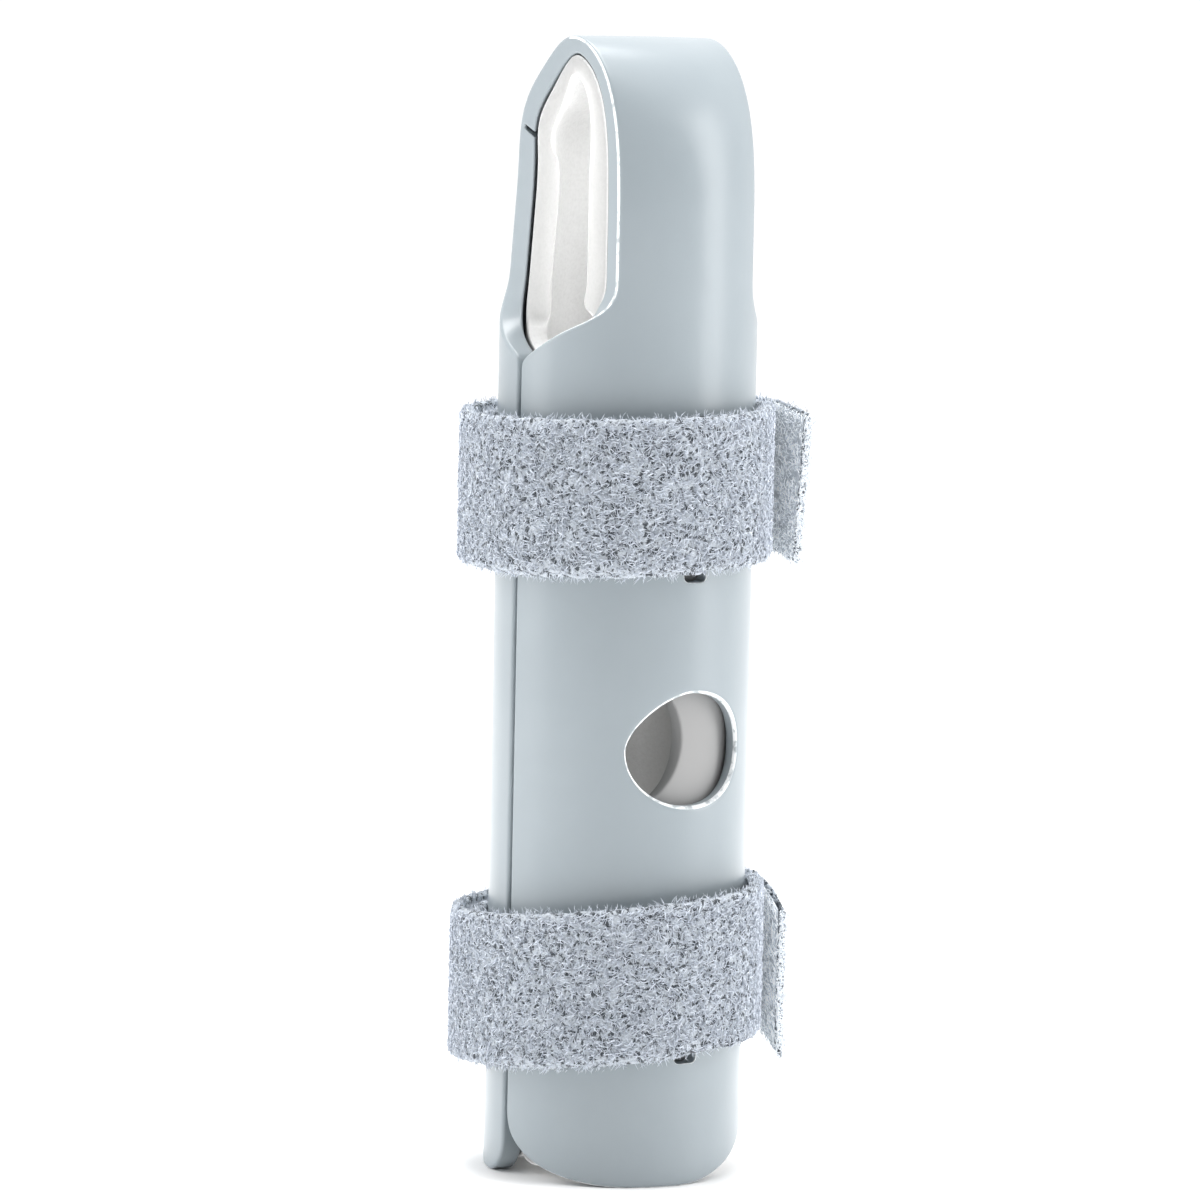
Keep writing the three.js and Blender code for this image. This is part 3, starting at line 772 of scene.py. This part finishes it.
def hook_piece(name, route, material):
    """The hook tape inside a strap's tail: a thin backing with rows of small bent hooks."""
    first, last = route.run_at_turns(TURNS["hooks"]), route.length - HOOK_INSET
    top = -END_THICKNESS / 2 - HOOK_GAP
    width = STRAP_WIDTH / 2 - HOOK_INSET
    section = [(-width, top), (width, top), (width, top - HOOK_BACKING), (-width, top - HOOK_BACKING)]
    runs = np.linspace(first, last, 60)
    rings = [route.place(np.full(4, r), *np.array(section).T) for r in runs]
    polygons = [tuple(range(4)), tuple(4 * (len(runs) - 1) + j for j in range(4))[::-1]]
    for i in range(len(runs) - 1):
        for j in range(4):
            k = (j + 1) % 4
            polygons.append((4 * i + k, 4 * i + j, 4 * i + 4 + j, 4 * i + 4 + k))
    backing_piece = outwards(mesh_object(f"{name}_hook_tape", np.vstack(rings), polygons, smooth=False))
    finish_piece(backing_piece, material, "hook_tape", f"{name}_hook_patch")
    pitch_run, pitch_across = 0.62, 0.5
    shape_run, shape_out = np.array([0, 0.02, 0.14, 0.24]), np.array([0.02, -0.2, -0.28, -0.17])
    paths = []
    for i, run in enumerate(np.arange(first + 0.3, last - 0.2, pitch_run)):
        for j, across in enumerate(np.arange(-width + 0.3, width - 0.2, pitch_across)):
            way = 1 if (i + j) % 2 else -1
            at = across + (0.25 if i % 2 else 0) * pitch_across
            out = top - HOOK_BACKING + shape_out
            paths.append(route.place(run + shape_run * way, np.full(4, at), out))
    paths = np.array(paths)
    hooks = spindles(f"{name}_hooks", paths, np.full(len(paths), HOOK_RADIUS))
    finish_piece(hooks, material, "hook_tape", f"{name}_hook_patch")


# Materials

def new_material(name, base, roughness, **sockets):
    material = bpy.data.materials.new(name)
    material.use_nodes = True
    shader = material.node_tree.nodes["Principled BSDF"]
    shader.inputs["Base Color"].default_value = (*base, 1)
    shader.inputs["Roughness"].default_value = roughness
    for key, value in sockets.items():
        shader.inputs[key.replace("_", " ")].default_value = value
    return material, material.node_tree, shader


def noise(tree, coordinates, scale, detail=4, roughness=0.55):
    node = tree.nodes.new("ShaderNodeTexNoise")
    node.inputs["Scale"].default_value = scale
    node.inputs["Detail"].default_value = detail
    node.inputs["Roughness"].default_value = roughness
    tree.links.new(coordinates, node.inputs["Vector"])
    return node.outputs["Fac"]


def math_node(tree, operation, *values):
    node = tree.nodes.new("ShaderNodeMath")
    node.operation = operation
    for socket, value in zip(node.inputs, values):
        if isinstance(value, (int, float)):
            socket.default_value = value
        else:
            tree.links.new(value, socket)
    return node.outputs["Value"]


def ramp(tree, value, stops):
    node = tree.nodes.new("ShaderNodeValToRGB")
    elements = node.color_ramp.elements
    for i, (position, colour) in enumerate(stops):
        element = elements[i] if i < 2 else elements.new(position)
        element.position = position
        element.color = (*colour, 1)
    tree.links.new(value, node.inputs["Fac"])
    return node.outputs["Color"]


def bump(tree, height, strength, distance, normal=None):
    node = tree.nodes.new("ShaderNodeBump")
    node.inputs["Strength"].default_value = strength
    node.inputs["Distance"].default_value = distance
    tree.links.new(height, node.inputs["Height"])
    if normal is not None:
        tree.links.new(normal, node.inputs["Normal"])
    return node.outputs["Normal"]


def object_coordinates(tree):
    return tree.nodes.new("ShaderNodeTexCoord").outputs["Object"]


def speckle(tree, shader, where, scale, detail, stops, roughness=0.55):
    """Colours a shader by a noise at some coordinates, between colour stops."""
    tint = ramp(tree, noise(tree, where, scale, detail, roughness), stops)
    tree.links.new(tint, shader.inputs["Base Color"])


def shell_material():
    material, tree, shader = new_material("moulded_plastic", (0.28, 0.32, 0.345), 0.3)
    where = object_coordinates(tree)
    stops = [(0.3, (0.27, 0.31, 0.335)), (0.7, (0.29, 0.33, 0.355))]
    speckle(tree, shader, where, 90, 3, stops)
    soft = bump(tree, noise(tree, where, 140, 2), 0.12, 0.0004)
    grain = bump(tree, noise(tree, where, 1500, 2), 0.1, 0.00006, soft)
    tree.links.new(grain, shader.inputs["Normal"])
    return material


# A paler speckled material for rims: a painted highlight along the rounded edges.
def shell_edge_highlight_material():
    material, tree, shader = new_material("painted_edge_highlight", (0.7, 0.74, 0.76), 0.4)
    stops = [(0.36, (0.42, 0.46, 0.48)), (0.52, (0.86, 0.89, 0.9))]
    speckle(tree, shader, object_coordinates(tree), 1300, 2, stops)
    return material


def lining_material():
    scatter = dict(Subsurface_Weight=1, Subsurface_Scale=0.005)
    material, tree, shader = new_material("foam", (0.93, 0.93, 0.92), 0.9, **scatter)
    shader.inputs["Subsurface Radius"].default_value = (1, 1, 1)
    # The foam's faint glow is painted light that brightens its shaded inside.
    shader.inputs["Emission Color"].default_value = (1, 1, 1, 1)
    shader.inputs["Emission Strength"].default_value = 0.07
    where = object_coordinates(tree)
    stops = [(0.3, (0.79, 0.79, 0.78)), (0.6, (0.86, 0.86, 0.85))]
    skin = ramp(tree, noise(tree, where, 3800, 3, 0.6), stops)
    # Faces that turn sideways, the foam's cut edges, are darkened here: painted shade.
    split = tree.nodes.new("ShaderNodeSeparateXYZ")
    tree.links.new(tree.nodes.new("ShaderNodeTexCoord").outputs["Normal"], split.inputs["Vector"])
    sideways = math_node(tree, "ABSOLUTE", split.outputs["X"])
    cut = ramp(tree, sideways, [(0.75, (1, 1, 1)), (0.95, (0.45, 0.45, 0.45))])
    both = tree.nodes.new("ShaderNodeVectorMath")
    both.operation = "MULTIPLY"
    tree.links.new(skin, both.inputs[0])
    tree.links.new(cut, both.inputs[1])
    tree.links.new(both.outputs["Vector"], shader.inputs["Base Color"])
    cells = bump(tree, noise(tree, where, 4200, 3, 0.7), 0.3, 0.00006)
    tree.links.new(cells, shader.inputs["Normal"])
    return material


# A dark grey for the foam's outer face and hole rim: painted shade behind the shell.
def lining_outer_shade_material():
    material, _, _ = new_material("foam_outer_face_painted_shade", (0.31, 0.31, 0.31), 0.9)
    return material


def band_material():
    material, tree, shader = new_material("loop_ground", (0.3, 0.33, 0.37), 0.95)
    where = object_coordinates(tree)
    # The near-black specks of the ground are painted shade in the pits between the loops.
    stops = [(0.42, (0.07, 0.08, 0.09)), (0.52, (0.5, 0.54, 0.59))]
    speckle(tree, shader, where, 1900, 3, stops, 0.7)
    tree.links.new(bump(tree, noise(tree, where, 1900, 3, 0.7), 0.9, 0.0003), shader.inputs["Normal"])
    return material


def fibre_material():
    material, tree, shader = new_material("loop_fibre", (0.46, 0.5, 0.555), 0.7)
    stops = [(0.3, (0.44, 0.485, 0.56)), (0.7, (0.79, 0.84, 0.92))]
    speckle(tree, shader, object_coordinates(tree), 2300, 2, stops, 0.8)
    return material


def lint_glow_material():
    material, _, shader = new_material("lint", (0.9, 0.93, 0.96), 0.7)
    # The lint's glow is painted light that brightens the shaded inner face of the tail.
    shader.inputs["Emission Color"].default_value = (0.88, 0.94, 1, 1)
    shader.inputs["Emission Strength"].default_value = 0.16
    return material


def hook_glow_material():
    material, tree, shader = new_material("hook_nylon", (0.5, 0.53, 0.57), 0.45)
    # The hook tape's glow is painted light on the shaded inner face of the tail.
    shader.inputs["Emission Color"].default_value = (0.88, 0.94, 1, 1)
    shader.inputs["Emission Strength"].default_value = 0.1
    stops = [(0.35, (0.36, 0.39, 0.425)), (0.65, (0.6, 0.64, 0.69))]
    speckle(tree, shader, object_coordinates(tree), 1500, 2, stops)
    return material


# The stage: a camera fitted to the photo (1200 x 1200), a pale floor and soft light from both sides

CAMERA_AZIMUTH = 33.9
CAMERA_DISTANCE = 504.0
CAMERA_HEIGHT = 96.0
CAMERA_TARGET = 48.0
CAMERA_ROLL = 1.22
FOCAL_PIXELS, PHOTO_SIDE = 6082.0, 1200.0
TARGET_OFFSET = (22.7, -4.9)
FLOOR_HALF_SIDE = 8.0
# Each light's azimuth from the camera's side, its elevation, distance and size in metres, and power
LIGHTS = {
    "left_softbox": (-86, 8, 0.7, (0.3, 0.9), 2.8),
    "right_softbox": (80, 8, 0.7, (0.3, 0.9), 4.3),
    "overhead": (10, 81, 0.8, (0.4, 0.4), 3.6),
    "back_top": (180, 72, 0.8, (0.4, 0.3), 3.6),
}
# The sky is dimmest near the camera's side and brighter further up
DIM_SIDE = CAMERA_AZIMUTH - 14
SKY_RISE, SKY_LEVEL = 0.45, 1.06


def add_camera():
    data = bpy.data.cameras.new("camera")
    data.sensor_width = 36
    data.lens = FOCAL_PIXELS / PHOTO_SIDE * data.sensor_width
    data.shift_x = -TARGET_OFFSET[0] / PHOTO_SIDE
    data.shift_y = TARGET_OFFSET[1] / PHOTO_SIDE
    data.clip_start, data.clip_end = 0.01, 20
    camera = bpy.data.objects.new("camera", data)
    bpy.context.scene.collection.objects.link(camera)
    angle = math.radians(CAMERA_AZIMUTH)
    away = Vector((-math.sin(angle), -math.cos(angle), 0)) * CAMERA_DISTANCE
    place_at = (away + Vector((0, 0, CAMERA_HEIGHT))) * MM
    look = Vector((0, 0, CAMERA_TARGET)) * MM - place_at
    turn = look.to_track_quat("-Z", "Y").to_matrix().to_4x4()
    roll = Matrix.Rotation(math.radians(CAMERA_ROLL), 4, "Z")
    camera.matrix_world = Matrix.Translation(place_at) @ turn @ roll
    bpy.context.scene.camera = camera


def add_floor():
    half = FLOOR_HALF_SIDE
    mesh = bpy.data.meshes.new("floor")
    corners = [(-half, -half, 0), (half, -half, 0), (half, half, 0), (-half, half, 0)]
    mesh.from_pydata(corners, [], [(0, 1, 2, 3)])
    floor = bpy.data.objects.new("floor", mesh)
    bpy.context.scene.collection.objects.link(floor)
    material, _, _ = new_material("pale_floor", (0.97, 0.97, 0.97), 0.9)
    floor.data.materials.append(material)


def add_light(name, azimuth, elevation, distance, size, power):
    """A soft light that faces the splint's middle, at an azimuth counted from the camera's side."""
    data = bpy.data.lights.new(name, "AREA")
    data.shape = "RECTANGLE"
    data.size, data.size_y = size
    data.energy = power
    light = bpy.data.objects.new(name, data)
    bpy.context.scene.collection.objects.link(light)
    angle = math.radians(-CAMERA_AZIMUTH + azimuth)
    rise = math.radians(elevation)
    way = Vector((math.sin(angle) * math.cos(rise), -math.cos(angle) * math.cos(rise), math.sin(rise)))
    light.location = way * distance + Vector((0, 0, LENGTH / 2 * MM))
    light.rotation_mode = "QUATERNION"
    light.rotation_quaternion = way.to_track_quat("Z", "Y")


def add_lights():
    """The lights, and a white sky that has a dim side."""
    world = bpy.data.worlds.new("studio")
    bpy.context.scene.world = world
    world.use_nodes = True
    background = world.node_tree.nodes["Background"]
    background.inputs["Color"].default_value = (1, 1, 1, 1)
    tree = world.node_tree
    way = tree.nodes.new("ShaderNodeTexCoord").outputs["Generated"]
    split = tree.nodes.new("ShaderNodeSeparateXYZ")
    tree.links.new(way, split.inputs["Vector"])
    towards = tree.nodes.new("ShaderNodeVectorMath")
    towards.operation = "DOT_PRODUCT"
    angle = math.radians(DIM_SIDE)
    towards.inputs[1].default_value = (-math.sin(angle), -math.cos(angle), 0)
    tree.links.new(way, towards.inputs[0])
    dip = ramp(tree, towards.outputs["Value"], [(0.1, (1.0,) * 3), (0.8, (0.16,) * 3)])
    up = math_node(tree, "MAXIMUM", split.outputs["Z"], 0)
    rise = math_node(tree, "MULTIPLY_ADD", up, SKY_RISE, SKY_LEVEL)
    tree.links.new(math_node(tree, "MULTIPLY", dip, rise), background.inputs["Strength"])
    for name, values in LIGHTS.items():
        add_light(name, *values)
    bpy.context.scene.view_settings.view_transform = "Standard"


add_camera()
add_floor()
add_lights()
shell_piece(shell_material(), shell_edge_highlight_material())
lining_piece(lining_material(), lining_outer_shade_material())
ground, fibre, fluff, hooks = band_material(), fibre_material(), lint_glow_material(), hook_glow_material()
for strap_name, strap_values in STRAPS.items():
    strap_pieces(strap_name, strap_values, ground, fibre, fluff, hooks)

bpy.context.view_layer.update()
